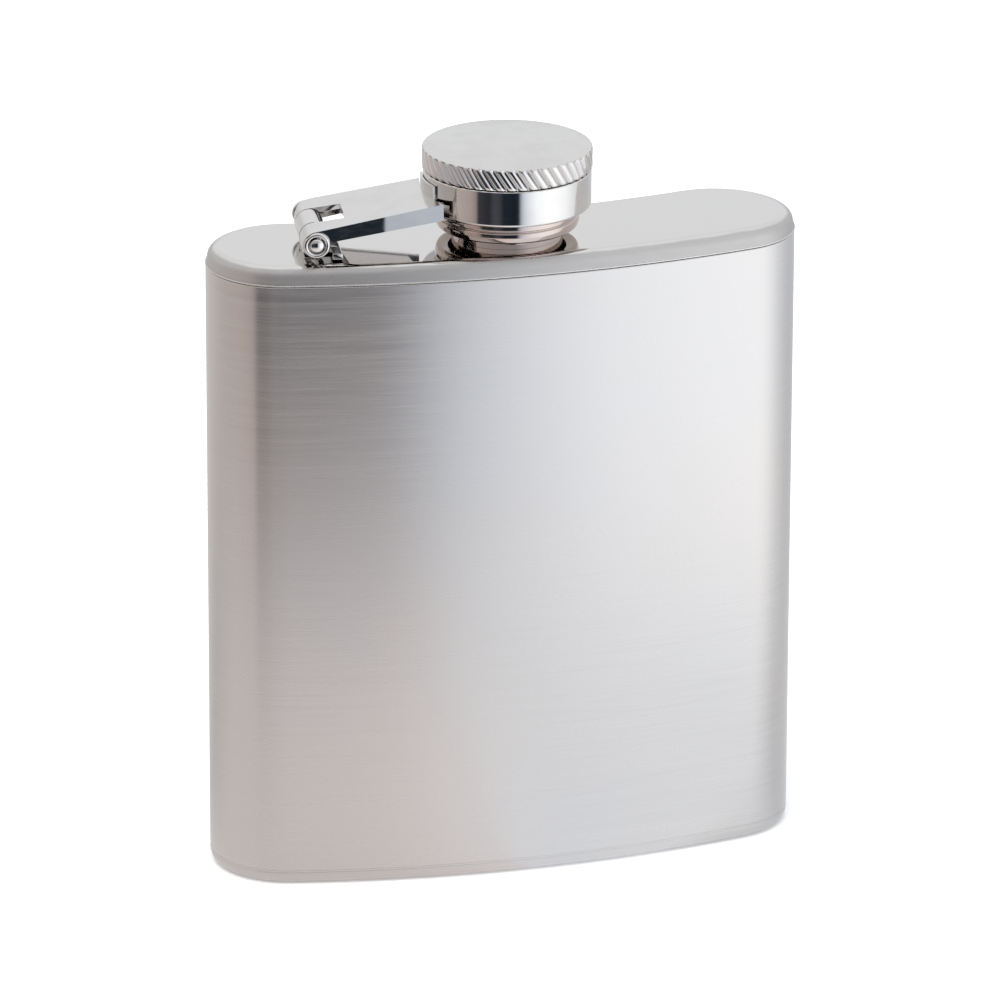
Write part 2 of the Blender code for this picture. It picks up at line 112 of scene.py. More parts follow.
# ---- strap and hinge, in the strap's own level section with the pin's axis at (0, 0) ----
HINGE_TURN = math.radians(-8)                      # the hinge stands square to the body's curve
STRAP_TILT = math.radians(7.1)
EYE_RADIUS = 0.00215
PIN_HALF = 0.0084
STRAP_HALF_AT_PIN = 0.0083
STRAP_HALF_AT_CAP = 0.0068
BACK_CORNER_RADIUS = 0.0042
STRAP_SHEET = 0.0008
LIP_AT_PIN = 0.00215
LIP_AT_CAP = 0.0029
BACK_LIP = ((0.0018, 0.0033), (0.0170, 0.0026))    # (distance from the pin, depth) on the concave side
FRONT_CORNER = 0.0009
ARM_EDGE = 0.00018                                 # softening of the arm's sheared edges
STRAP_END_RADIUS = 0.026
SLOT_WIDTH = 0.0070
SLOT_REACH = 0.0052
PIN_RADIUS = 0.0011
PIN_HEAD = 0.00045
KNUCKLE_RADIUS = 0.0022
LEAF_BOTTOM = 0.0003 - PIN_HEIGHT
FOOT_LENGTH = 0.0042
FOOT_WIDE_START = 0.0026
FOOT_WIDE_HALF = 0.0068
FOOT_THICKNESS = 0.0010
LEAF_EDGE = 0.00012
TAB_HALF_ANGLE = math.radians(17)
TAB_THICKNESS = 0.0004
TAB_TOP = 0.0098
TAB_BOTTOM = 0.0075
TAB_EDGE = 0.00015


# ---------------------------------------------------------------- mesh helpers

def arc(centre, radius, start, end, steps):
    angles = [start + (end - start) * i / steps for i in range(steps + 1)]
    return [(centre[0] + radius * math.cos(a), centre[1] + radius * math.sin(a)) for a in angles]


def rounded(corners, steps=4):
    """A closed outline from (x, y, radius) corners, each turned into an arc of that radius."""
    points = []
    count = len(corners)
    for i, (x, y, radius) in enumerate(corners):
        if not radius:
            points.append((x, y))
            continue
        here = Vector((x, y))
        back = (Vector(corners[i - 1][:2]) - here).normalized()
        ahead = (Vector(corners[(i + 1) % count][:2]) - here).normalized()
        half = back.angle(ahead) / 2
        centre = here + (back + ahead).normalized() * (radius / math.sin(half))
        first = here + back * (radius / math.tan(half)) - centre
        turn = (math.pi - 2 * half) * (1 if back.cross(ahead) < 0 else -1)
        for k in range(steps + 1):
            a = turn * k / steps
            points.append((centre.x + first.x * math.cos(a) - first.y * math.sin(a),
                           centre.y + first.x * math.sin(a) + first.y * math.cos(a)))
    return points


def skin(rings, close=False):
    """Joins a row of rings with equal point counts into a closed mesh."""
    bm = bmesh.new()
    loops = [[bm.verts.new(p) for p in ring] for ring in rings]
    pairs = list(zip(loops, loops[1:]))
    if close:
        pairs.append((loops[-1], loops[0]))
    for one, two in pairs:
        for i in range(len(one)):
            j = (i + 1) % len(one)
            bm.faces.new((one[i], one[j], two[j], two[i]))
    if not close:
        bm.faces.new(loops[0])
        bm.faces.new(loops[-1])
    return bm


def lathe(profile, centre, steps=144):
    """Turns a closed (radius, height) profile round a vertical axis through a centre."""
    bm = bmesh.new()
    verts = [bm.verts.new((r, 0.0, z)) for r, z in profile]
    edges = [bm.edges.new((a, b)) for a, b in zip(verts, verts[1:] + verts[:1])]
    bmesh.ops.spin(bm, geom=verts + edges, cent=(0, 0, 0), axis=(0, 0, 1),
                   angle=2 * math.pi, steps=steps, use_merge=False)
    bmesh.ops.remove_doubles(bm, verts=bm.verts, dist=1e-6)
    on_axis = [e for e in bm.edges if all(v.co.xy.length < 1e-7 for v in e.verts)]
    bmesh.ops.delete(bm, geom=on_axis, context="EDGES")
    bmesh.ops.translate(bm, verts=bm.verts, vec=centre)
    return bm


def inset(points, distance):
    """A closed outline moved inwards by a small distance."""
    area = sum(a[0] * b[1] - b[0] * a[1] for a, b in zip(points, points[1:] + points[:1]))
    side = 1 if area > 0 else -1
    moved = []
    for i, (x, y) in enumerate(points):
        before, after = points[i - 1], points[(i + 1) % len(points)]
        one = Vector((x - before[0], y - before[1])).normalized()
        two = Vector((after[0] - x, after[1] - y)).normalized()
        normal = (Vector((-one.y, one.x)) + Vector((-two.y, two.x))) * side
        normal.normalize()
        scale = max(0.5, normal.dot(Vector((-one.y, one.x)) * side))
        moved.append((x + normal.x * distance / scale, y + normal.y * distance / scale))
    return moved


def slab(outline, low, high, edge=0.0, steps=3):
    """An outline in XZ made into a solid along Y, with rounded edges round both ends."""
    rings = []
    if edge:
        for k in range(steps):
            a = math.pi / 2 * k / steps
            rings.append((inset(outline, edge * (1 - math.sin(a))), low + edge * (1 - math.cos(a))))
    rings.append((outline, low + edge))
    rings.append((outline, high - edge))
    if edge:
        for k in range(steps - 1, -1, -1):
            a = math.pi / 2 * k / steps
            rings.append((inset(outline, edge * (1 - math.sin(a))), high - edge * (1 - math.cos(a))))
    return skin([[(x, y, z) for x, z in ring] for ring, y in rings])


def as_object(name, bm, sharp=40):
    bmesh.ops.recalc_face_normals(bm, faces=bm.faces)
    mesh = bpy.data.meshes.new(name)
    bm.to_mesh(mesh)
    bm.free()
    mesh.shade_smooth()
    mesh.set_sharp_from_angle(angle=math.radians(sharp))
    obj = bpy.data.objects.new(name, mesh)
    bpy.context.collection.objects.link(obj)
    return obj


def piece(obj, body, slot, material, *nodes):
    """Finishes one visible piece: even normals, material, body and the CAD nodes it stands for. The slot
    argument is not used.
    """
    weighted = obj.modifiers.new("even_normals", "WEIGHTED_NORMAL")
    weighted.keep_sharp = True
    obj.data.materials.clear()
    obj.data.materials.append(material)
    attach(obj, body)
    if nodes:
        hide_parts(*nodes)
    return obj


def combine(obj, tools):
    """Applies Booleans to the object, each given as (tool object, operation), and removes the tools."""
    for tool, operation in tools:
        modifier = obj.modifiers.new("combine", "BOOLEAN")
        modifier.solver = "EXACT"
        modifier.operation = operation
        modifier.object = tool
    bpy.context.view_layer.update()
    made = bpy.data.meshes.new_from_object(obj.evaluated_get(bpy.context.evaluated_depsgraph_get()))
    obj.modifiers.clear()
    obj.data = made
    for tool, _ in tools:
        bpy.data.objects.remove(tool)
    made.shade_smooth()
    made.set_sharp_from_angle(angle=math.radians(35))
    return obj


# ---------------------------------------------------------------- body outline

def end_circle():
    """The circle that joins the front arc to the back arc and touches the full width."""
    front_y = FRONT_RADIUS - BODY_DEPTH / 2
    back_y = BACK_RADIUS + BODY_DEPTH / 2
    low, high = 0.1 * BODY_DEPTH, 0.8 * BODY_DEPTH
    for _ in range(60):
        radius = (low + high) / 2
        x = HALF_WIDTH - radius
        y = front_y - math.sqrt((FRONT_RADIUS - radius) ** 2 - x ** 2)
        if math.hypot(x, y - back_y) > BACK_RADIUS + radius:
            low = radius
        else:
            high = radius
    return x, y, radius


END_X, END_Y, END_RADIUS = end_circle()
OUTLINE_Y = (BODY_DEPTH / 2 - END_Y - END_RADIUS) / 2


def kidney(offset, z):
    """The body's outline moved inwards by an offset, as a ring of points at one height."""
    front_y = FRONT_RADIUS - BODY_DEPTH / 2
    back_y = BACK_RADIUS + BODY_DEPTH / 2
    front_half = math.atan2(END_X, front_y - END_Y)
    back_half = math.atan2(END_X, back_y - END_Y)
    down = -math.pi / 2
    front = arc((0, front_y), FRONT_RADIUS - offset, down - front_half, down + front_half, FACE_STEPS)
    right = arc((END_X, END_Y), END_RADIUS - offset, down + front_half, -down + back_half, END_STEPS)
    back = arc((0, back_y), BACK_RADIUS + offset, down + back_half, down - back_half, FACE_STEPS)
    left = arc((-END_X, END_Y), END_RADIUS - offset, -down - back_half, -3 * down - front_half, END_STEPS)
    points = front[:-1] + right[:-1] + back[:-1] + left[:-1]
    return [(x, y + OUTLINE_Y, z) for x, y in points]


def neck_circle(radius, z):
    """A circle round the neck whose points face the outline's points."""
    points = []
    for x, y, _ in kidney(0.0, z):
        direction = Vector((x - CAP_AXIS.x, y - CAP_AXIS.y)).normalized()
        points.append((CAP_AXIS.x + radius * direction.x, CAP_AXIS.y + radius * direction.y, z))
    return points


# ---------------------------------------------------------------- node helpers

def add(tree, kind, **values):
    """Adds a node; values set its properties, or its inputs where a name starts with in_."""
    node = tree.nodes.new(kind)
    for key, value in values.items():
        if key.startswith("in_"):
            label = key[3:]
            socket = node.inputs[int(label) if label.isdigit() else label.replace("_", " ")]
            if isinstance(value, bpy.types.NodeSocket):
                tree.links.new(value, socket)
            else:
                socket.default_value = value
        else:
            setattr(node, key, value)
    return node


def maths(tree, operation, *values):
    node = tree.nodes.new("ShaderNodeMath")
    node.operation = operation
    for i, value in enumerate(values):
        if isinstance(value, bpy.types.NodeSocket):
            tree.links.new(value, node.inputs[i])
        else:
            node.inputs[i].default_value = value
    return node.outputs[0]


def remap(tree, value, low, high, to_low, to_high, smooth=True):
    node = add(tree, "ShaderNodeMapRange", interpolation_type="SMOOTHSTEP" if smooth else "LINEAR",
               in_0=value, in_1=low, in_2=high, in_3=to_low, in_4=to_high)
    return node.outputs[0]


def blend_colour(tree, factor, one, two, kind="MIX"):
    node = tree.nodes.new("ShaderNodeMix")
    node.data_type = "RGBA"
    node.blend_type = kind
    for socket, value in ((node.inputs["Factor"], factor), (node.inputs[6], one), (node.inputs[7], two)):
        if isinstance(value, bpy.types.NodeSocket):
            tree.links.new(value, socket)
        else:
            socket.default_value = value
    return node.outputs[2]


def ramp(tree, factor, stops):
    node = tree.nodes.new("ShaderNodeValToRGB")
    tree.links.new(factor, node.inputs[0])
    band = node.color_ramp
    band.interpolation = "LINEAR"
    while len(band.elements) > 1:
        band.elements.remove(band.elements[-1])
    band.elements[0].position = stops[0][0]
    band.elements[0].color = (*stops[0][1], 1)
    for position, colour in stops[1:]:
        band.elements.new(position).color = (*colour, 1)
    return node.outputs[0]


def noise(tree, scale, detail=3.0, roughness=0.5, stretch=(1, 1, 1), offset=(0, 0, 0)):
    """Object-space noise, its cells scaled per axis in cells per metre."""
    where = add(tree, "ShaderNodeTexCoord").outputs["Object"]
    mapping = add(tree, "ShaderNodeMapping", in_Vector=where)
    mapping.inputs["Scale"].default_value = [scale * s for s in stretch]
    mapping.inputs["Location"].default_value = offset
    return add(tree, "ShaderNodeTexNoise", in_Vector=mapping.outputs[0], in_Scale=1.0,
               in_Detail=detail, in_Roughness=roughness).outputs[0]


def place_of(tree):
    """The point's x, y and z in the frame."""
    where = add(tree, "ShaderNodeTexCoord").outputs["Object"]
    return add(tree, "ShaderNodeSeparateXYZ", in_Vector=where).outputs


def azimuth_of(tree, x, y):
    """A direction round the vertical as 0 to 1, with the flask's front at 0.5."""
    turn = maths(tree, "ARCTAN2", x, maths(tree, "MULTIPLY", y, -1.0))
    return maths(tree, "ADD", maths(tree, "DIVIDE", turn, 2 * math.pi), 0.5)


def tones_round(tree, azimuth, stops):
    """Tones given as (azimuth in degrees, colour), blended round the circle."""
    return ramp(tree, azimuth, [((a + 180) / 360, colour) for a, colour in stops])


def new_material(name, colour, roughness, metallic=1.0):
    material = bpy.data.materials.new(name)
    material.use_nodes = True
    shader = material.node_tree.nodes["Principled BSDF"]
    shader.inputs["Base Color"].default_value = (*colour, 1)
    shader.inputs["Roughness"].default_value = roughness
    shader.inputs["Metallic"].default_value = metallic
    return material, material.node_tree, shader


def bump(tree, shader, height, distance):
    node = add(tree, "ShaderNodeBump", in_Strength=1.0, in_Distance=distance, in_Height=height)
    tree.links.new(node.outputs[0], shader.inputs["Normal"])


# ---------------------------------------------------------------- materials

STEEL = (0.606, 0.581, 0.559)
CHROME = (0.66, 0.636, 0.612)
NECK_PAINTED_REFLECTION = (0.56, 0.475, 0.435)                 # browner, for the neck and sleeve: a painted reflection of brown surroundings in the chrome's colour
UNDERSIDE_CHROME = (0.82, 0.775, 0.745)            # lighter, for the sheet under the arm
GRAIN_GRIP = 0.85                                  # how strongly the brushing spreads a highlight
GRAIN_TURN = 0.25                                  # a quarter turn lays the spread across the grain


def scaled(colour, factor):
    return tuple(c * factor for c in colour)


def brush_lines(tree, fine=5200.0, along=70.0):
    """Grain that runs level round the body: hair-fine lines, with broader streaks under them."""
    hair = noise(tree, 1.0, 2.0, 0.6, (along, along, fine))
    streak = noise(tree, 1.0, 3.0, 0.55, (along / 2, along / 2, fine / 5), (0.3, 0.1, 0.7))
    return maths(tree, "ADD", maths(tree, "MULTIPLY", hair, 0.55), maths(tree, "MULTIPLY", streak, 0.45))


def brushed_steel(name, roughness=0.25):
    """Rolled sheet brushed along its length. Its highlight spreads up and down, across the grain."""
    material, tree, shader = new_material(name, STEEL, roughness)
    grain = brush_lines(tree)
    tone = remap(tree, grain, 0.3, 0.7, 0.0, 1.0, smooth=False)
    cloud = noise(tree, 28.0, 2.0, 0.5)
    colour = blend_colour(tree, tone, (*scaled(STEEL, 0.96), 1), (*scaled(STEEL, 1.03), 1))
    warm = blend_colour(tree, remap(tree, cloud, 0.35, 0.65, 0.0, 1.0),
                        (1.0, 0.985, 0.975, 1), (0.985, 0.99, 1.0, 1))
    tree.links.new(blend_colour(tree, 1.0, colour, warm, "MULTIPLY"), shader.inputs["Base Color"])
    tree.links.new(remap(tree, grain, 0.3, 0.7, roughness - 0.04, roughness + 0.05, smooth=False),
                   shader.inputs["Roughness"])
    shader.inputs["Anisotropic"].default_value = GRAIN_GRIP
    shader.inputs["Anisotropic Rotation"].default_value = GRAIN_TURN
    level = add(tree, "ShaderNodeTangent", direction_type="RADIAL", axis="Z")
    tree.links.new(level.outputs[0], shader.inputs["Tangent"])
    bump(tree, shader, grain, 0.0000035)
    return material


def pan_steel(name):
    """Upper plate: polished on its flat face, brushed and darker round its rim below the polish line."""
    material, tree, shader = new_material(name, CHROME, 0.08)
    z = place_of(tree)[2]
    drop = maths(tree, "MULTIPLY", maths(tree, "SUBTRACT", z, HEIGHT), -1.0)
    wander = maths(tree, "MULTIPLY", maths(tree, "SUBTRACT", noise(tree, 260.0, 2.0), 0.5), 0.00025)
    rim = remap(tree, maths(tree, "ADD", drop, wander),
                POLISH_DROP - POLISH_EDGE, POLISH_DROP + POLISH_EDGE, 0.0, 1.0)
    grain = brush_lines(tree, 6500.0, 60.0)
    tone = blend_colour(tree, grain, (*scaled(STEEL, 0.80), 1), (*scaled(STEEL, 0.92), 1))
    wipe = noise(tree, 1.0, 4.0, 0.6, (180, 900, 900))
    colour = blend_colour(tree, rim, (*CHROME, 1), tone)
    tree.links.new(colour, shader.inputs["Base Color"])
    smooth_part = remap(tree, wipe, 0.35, 0.7, 0.045, 0.085)
    rough = maths(tree, "ADD", maths(tree, "MULTIPLY", rim, 0.36), smooth_part)
    tree.links.new(rough, shader.inputs["Roughness"])
    tree.links.new(maths(tree, "MULTIPLY", rim, GRAIN_GRIP), shader.inputs["Anisotropic"])
    shader.inputs["Anisotropic Rotation"].default_value = GRAIN_TURN
    level = add(tree, "ShaderNodeTangent", direction_type="RADIAL", axis="Z")
    tree.links.new(level.outputs[0], shader.inputs["Tangent"])
    bump(tree, shader, maths(tree, "MULTIPLY", grain, rim), 0.000003)
    return material


def chrome(name, roughness=0.06, tint=CHROME):
    """Plated fitting: bright, with faint wiping marks and a slightly duller bloom."""
    material, tree, shader = new_material(name, tint, roughness)
    wipe = noise(tree, 1.0, 4.0, 0.6, (500, 500, 2200))
    bloom = noise(tree, 220.0, 3.0, 0.5)
    tree.links.new(remap(tree, wipe, 0.3, 0.75, roughness * 0.7, roughness * 1.6), shader.inputs["Roughness"])
    dull = remap(tree, bloom, 0.4, 0.7, 0.0, 1.0)
    tree.links.new(blend_colour(tree, dull, (*tint, 1), (*scaled(tint, 0.95), 1)), shader.inputs["Base Color"])
    bump(tree, shader, wipe, 0.0000006)
    return material


def arm_chrome():
    """The arm's plating. The shading of its front edge leans towards the hinge; the edge itself is flat."""
    material = chrome("arm_chrome", 0.09)
    tree = material.node_tree
    shader = tree.nodes["Principled BSDF"]
    x = place_of(tree)[0]
    normal = add(tree, "ShaderNodeNewGeometry").outputs["Normal"]
    forward = add(tree, "ShaderNodeSeparateXYZ", in_Vector=normal).outputs[1]
    front = remap(tree, forward, -0.97, -0.80, 1.0, 0.0)
    sideways = remap(tree, x, PIN_AXIS.x + 0.0084, PIN_AXIS.x + 0.0102, -0.27, -0.125)
    lean = add(tree, "ShaderNodeCombineXYZ", in_0=maths(tree, "MULTIPLY", front, sideways))
    bent = add(tree, "ShaderNodeVectorMath", operation="ADD", in_0=normal, in_1=lean.outputs[0])
    even = add(tree, "ShaderNodeVectorMath", operation="NORMALIZE", in_0=bent.outputs[0])
    tree.links.new(even.outputs[0], shader.inputs["Normal"].links[0].from_node.inputs["Normal"])
    return material


def weld_metal():
    """The polished-down weld: fine ripples along the seam."""
    material, tree, shader = new_material("weld_metal", CHROME, 0.3)
    ripple = noise(tree, 2600.0, 2.0, 0.5)
    tree.links.new(remap(tree, ripple, 0.3, 0.7, 0.22, 0.42), shader.inputs["Roughness"])
    bump(tree, shader, ripple, 0.00002)
    return material


def silicone():
    """Soft milky sealing disc with a faint bloom."""
    material, tree, shader = new_material("milky_silicone", (0.86, 0.86, 0.84), 0.5, 0.0)
    dust = noise(tree, 1800.0, 4.0, 0.6)
    tree.links.new(blend_colour(tree, remap(tree, dust, 0.35, 0.7, 0.0, 1.0), (0.88, 0.88, 0.86, 1),
                                (0.80, 0.80, 0.775, 1)), shader.inputs["Base Color"])
    tree.links.new(remap(tree, dust, 0.3, 0.7, 0.42, 0.58), shader.inputs["Roughness"])
    bump(tree, shader, dust, 0.00001)
    return material


# ---------------------------------------------------------------- body pieces

def body_skin(material):
    """The wrapped sheet between the two welds, its edges rolled in slightly at the seams."""
    low, high = FOOT_SEAM + WELD_GAP / 2, HEIGHT - SHOULDER_SEAM - WELD_GAP / 2
    section = rounded([(0, low, 0.00003), (0, high, 0.00022), (WALL, high, 0), (WALL, low, 0)])
    obj = as_object("body_skin", skin([kidney(offset, z) for offset, z in section], close=True))
    return piece(obj, "flask", "brushed_body", material, "body_shell")


def rim_section(seam_depth, roll):
    """A plate's rim, as (offset, depth): its rolled edge at the weld, then in and down inside the shell."""
    seam = seam_depth - WELD_GAP / 2
    lip_out = WALL + WELD_GAP
    lip_in = lip_out + WALL
    rim = arc((roll, seam - roll), roll, math.pi, math.pi / 2, 3)
    return rim + [(lip_out, seam), (lip_out, seam + RIM_LIP), (lip_in, seam + RIM_LIP)]


def rolled_section(radius, seam_depth, roll):
    """A plate's section from the flat face over a quarter round and back inside."""
    quarter = [math.pi / 2 * i / FOOT_STEPS for i in range(FOOT_STEPS + 1)]
    outer = [(radius * (1 - math.sin(t)), radius * (1 - math.cos(t))) for t in quarter]
    rim = rim_section(seam_depth, roll)
    inner_radius = radius - rim[-1][0]
    inner = [(radius - inner_radius * math.sin(t), WALL + inner_radius * (1 - math.cos(t)))
             for t in reversed(quarter[::2])]
    return outer + rim + inner


def top_pan(material):
    hole = NECK_RADIUS + WELD_GAP
    rings = [neck_circle(hole, HEIGHT)]
    levels = [*SHOULDER_SECTION, *rim_section(SHOULDER_SEAM, 0.0001), *SHOULDER_INSIDE]
    rings += [kidney(offset, HEIGHT - depth) for offset, depth in levels]
    rings.append(neck_circle(hole, HEIGHT - WALL))
    obj = as_object("top_pan", skin(rings, close=True), sharp=60)
    return piece(obj, "flask", "polished_plate", material, "top_plate")


def bottom_pan(material):
    section = rolled_section(FOOT_RADIUS, FOOT_SEAM, 0.00003)
    obj = as_object("bottom_pan", skin([kidney(offset, depth) for offset, depth in section]), sharp=60)
    return piece(obj, "flask", "brushed_plate", material, "bottom_plate")


def upper_weld(material):
    """A fine weld all round the body, a hair proud of the sheet, with a groove left under it."""
    radius = 0.00014
    section = arc((radius * 0.5, HEIGHT - SHOULDER_SEAM + 0.00006), radius, 0, 2 * math.pi * 11 / 12, 11)
    obj = as_object("upper_weld", skin([kidney(offset, z) for offset, z in section], close=True))
    return piece(obj, "flask", "brushed_body", material)


def lower_weld(material):
    """The lower seam, filled and ground flush with the sheet."""
    low, high = FOOT_SEAM - WELD_GAP / 2 + 0.00001, FOOT_SEAM + WELD_GAP / 2 - 0.00001
    section = [(0.00001, low), (0.00001, high), (WALL, high), (WALL, low)]
    obj = as_object("lower_weld", skin([kidney(offset, z) for offset, z in section], close=True))
    return piece(obj, "flask", "brushed_body", material)


# ---------------------------------------------------------------- neck

def thread_height(turns_up):
    """Height of the thread's ridge, from 0 to 1, at a distance from its middle in pitches."""
    distance = abs(turns_up - round(turns_up))
    return max(0.0, min(1.0, (0.30 - distance) / 0.17))


def spout(material):
    """The neck: a plain foot, one screw thread that runs out at both ends, and a rolled lip."""
    base = Vector((CAP_AXIS.x, CAP_AXIS.y, HEIGHT))
    lip = 0.0004
    shoulder = 0.0003
    plain = [(BORE_RADIUS, -NECK_SHANK), (NECK_RADIUS, -NECK_SHANK), (NECK_RADIUS, 0.00002)]
    foot = [(NECK_FOOT_RADIUS, 0.00002)]
    foot += arc((NECK_FOOT_RADIUS - shoulder, NECK_FOOT_TOP - shoulder), shoulder, 0, math.pi / 2, 4)
    threaded = [(NECK_RADIUS, NECK_FOOT_TOP + (NECK_TOP - lip - NECK_FOOT_TOP) * i / 64) for i in range(65)]
    top = arc((NECK_RADIUS - lip, NECK_TOP - lip), lip, 0, math.pi / 2, 4)[1:]
    top += arc((BORE_RADIUS + 0.0003, NECK_TOP - 0.0003), 0.0003, math.pi / 2, math.pi, 4)
    steps = 128
    rings = []
    for r, z in plain + foot + threaded + top:
        ring = []
        for i in range(steps):
            a = 2 * math.pi * i / steps
            turn = (z - THREAD_START) / THREAD_PITCH - i / steps
            length = max(0.0, min(1.0, 8 * (turn + 0.5))) * max(0.0, min(1.0, 8 * (THREAD_TURNS - turn)))
            rise = 0
            if r == NECK_RADIUS and z > NECK_FOOT_TOP:
                rise = (THREAD_CREST - NECK_RADIUS) * thread_height(turn) * length
            ring.append((base.x + (r + rise) * math.cos(a), base.y + (r + rise) * math.sin(a), base.z + z))
        rings.append(ring)
    obj = as_object("spout", skin(rings, close=True), sharp=50)
    return piece(obj, "flask", "polished_fitting", material, "neck")


# ---------------------------------------------------------------- hinge and strap

def tilted(along, up):
    """A point of the strap's level section in the hinge's own directions, as (x, z) from the pin's middle."""
    c, s = math.cos(STRAP_TILT), math.sin(STRAP_TILT)
    return (along * c - up * s, along * s + up * c)


def from_hinge(x, y):
    """A plan point, measured from the pin's middle along X and Y, in the turned hinge's own directions."""
    c, s = math.cos(HINGE_TURN), math.sin(HINGE_TURN)
    return (x * c + y * s, y * c - x * s)


def at_hinge(obj):
    """Moves a mesh built in the hinge's own directions to its place in the frame."""
    obj.data.transform(Matrix.Translation(PIN_AXIS) @ Matrix.Rotation(HINGE_TURN, 4, "Z"))
    return obj


def hinge_leaf(material):
    """The leaf welded to the plate on a wide foot and curled round the pin."""
    bore = PIN_RADIUS + WELD_GAP
    slit = 0.0004
    foot_top = LEAF_BOTTOM + FOOT_THICKNESS
    curl_start = math.asin(foot_top / KNUCKLE_RADIUS)
    curl_end = math.asin((foot_top + slit) / KNUCKLE_RADIUS)
    outline = [(FOOT_LENGTH, LEAF_BOTTOM), (-0.0013, LEAF_BOTTOM), (-0.00155, LEAF_BOTTOM + 0.0002)]
    outline += arc((0, 0), KNUCKLE_RADIUS, -math.pi - curl_start, -2 * math.pi + curl_end, 56)
    outline += arc((0, 0), bore, -2 * math.pi - math.pi / 2 + 0.5, -math.pi / 2 - 0.1, 40)
    outline += [(FOOT_LENGTH - 0.0003, foot_top), (FOOT_LENGTH, foot_top - 0.0003)]
    half = SLOT_WIDTH / 2 - WELD_GAP
    obj = as_object("hinge_leaf", slab(outline, -half, half, LEAF_EDGE), sharp=50)
    wide = rounded([(FOOT_WIDE_START, LEAF_BOTTOM, 0), (FOOT_LENGTH, LEAF_BOTTOM, 0),
                    (FOOT_LENGTH, foot_top, 0.0003), (FOOT_WIDE_START, foot_top, 0.0001)])
    foot = as_object("wide_foot", slab(wide, -FOOT_WIDE_HALF, FOOT_WIDE_HALF, LEAF_EDGE))
    combine(obj, [(foot, "UNION")])
    return piece(at_hinge(obj), "flask", "polished_fitting", material, "hinge_base")


def rivet_pin(material):
    """The hinge pin, its ends peened into low domes with a groove round each."""
    neck_in = 0.00022
    end = [(PIN_RADIUS - neck_in, PIN_HALF - 0.0007), (PIN_RADIUS - neck_in, PIN_HALF - 0.0002),
           (PIN_RADIUS, PIN_HALF)]
    end += [(PIN_RADIUS * math.cos(a), PIN_HALF + PIN_HEAD * math.sin(a))
            for a in [math.pi / 2 * i / 8 for i in range(1, 9)]]
    profile = [(r, -z) for r, z in reversed(end)] + end
    obj = as_object("rivet_pin", lathe(profile, (0, 0, 0), 48), sharp=50)
    obj.data.transform(Matrix.Rotation(math.pi / 2, 4, "X"))
    return piece(at_hinge(obj), "strap", "polished_fitting", material, "hinge_pin")


def eye_rings(material):
    """The rolled rims of both eyes, round the pin's ends."""
    bm = bmesh.new()
    for side in (-1, 1):
        loops = []
        for i in range(48):
            a = 2 * math.pi * i / 48
            loops.append([bm.verts.new((r * math.cos(a), side * (PIN_HALF - 0.00018) + y, r * math.sin(a)))
                          for r, y in arc((0.00168, 0), 0.00038, 0, 2 * math.pi * 11 / 12, 11)])
        for one, two in zip(loops, loops[1:] + loops[:1]):
            for j in range(12):
                bm.faces.new((one[j], one[(j + 1) % 12], two[(j + 1) % 12], two[j]))
    return piece(at_hinge(as_object("eye_rings", bm)), "strap", "polished_fitting", material)


def strap_plan(inset, left, front_corner=0.0):
    """The strap's outline in plan, its sides moved in by an inset, its hinge end open as far as a left
    edge. The corner on the concave side is rounded, and the front one where a radius is given."""
    near, far = STRAP_HALF_AT_PIN - inset, STRAP_HALF_AT_CAP - inset
    lean = math.atan((near - far) / REACH)
    points = []
    if front_corner:
        x = front_corner - EYE_RADIUS
        edge = from_hinge(x, -near + math.tan(lean) * x)
        points = [(left, edge[1] + front_corner)]
        points += arc((x, edge[1] + front_corner), front_corner, math.pi, 1.5 * math.pi, 6)
    else:
        points = [from_hinge(left, -near + math.tan(lean) * left)]
    points += [from_hinge(REACH, -far), from_hinge(REACH, far)]
    radius = BACK_CORNER_RADIUS - inset
    square = math.pi / 2 - HINGE_TURN - lean
    edge = from_hinge(0, near)
    x = BACK_CORNER_RADIUS - EYE_RADIUS
    y = edge[1] - (radius - math.cos(square) * (edge[0] - x)) / math.sin(square)
    points += arc((x, y), radius, square, math.pi, 24)
    points.append((left, y))
    return points


def plan_tool(name, points):
    return as_object(name, skin([[(x, y, z) for x, y in points] for z in (-0.03, 0.03)]))


def section_tool(name, section, half):
    return as_object(name, slab([tilted(*p) for p in section], -half, half))


def tab_tool():
    """The strap's end bent up against the ring."""
    inner = RING_RADIUS + 0.00005
    outer = inner + TAB_THICKNESS
    middle = math.pi - HINGE_TURN
    span = (middle - TAB_HALF_ANGLE, middle + TAB_HALF_ANGLE)
    outline = arc((0, 0), inner, *span, 24) + arc((0, 0), outer, *reversed(span), 24)
    low, high = TAB_BOTTOM - PIN_HEIGHT, TAB_TOP - PIN_HEIGHT
    levels = [(0, low), (0, high - TAB_EDGE), (TAB_EDGE * 0.3, high - TAB_EDGE * 0.3), (TAB_EDGE, high)]
    centre = from_hinge(REACH, 0)
    rings = [[(centre[0] + x, centre[1] + y, z) for x, y in inset(outline, d)] for d, z in levels]
    return as_object("tab_tool", skin(rings))


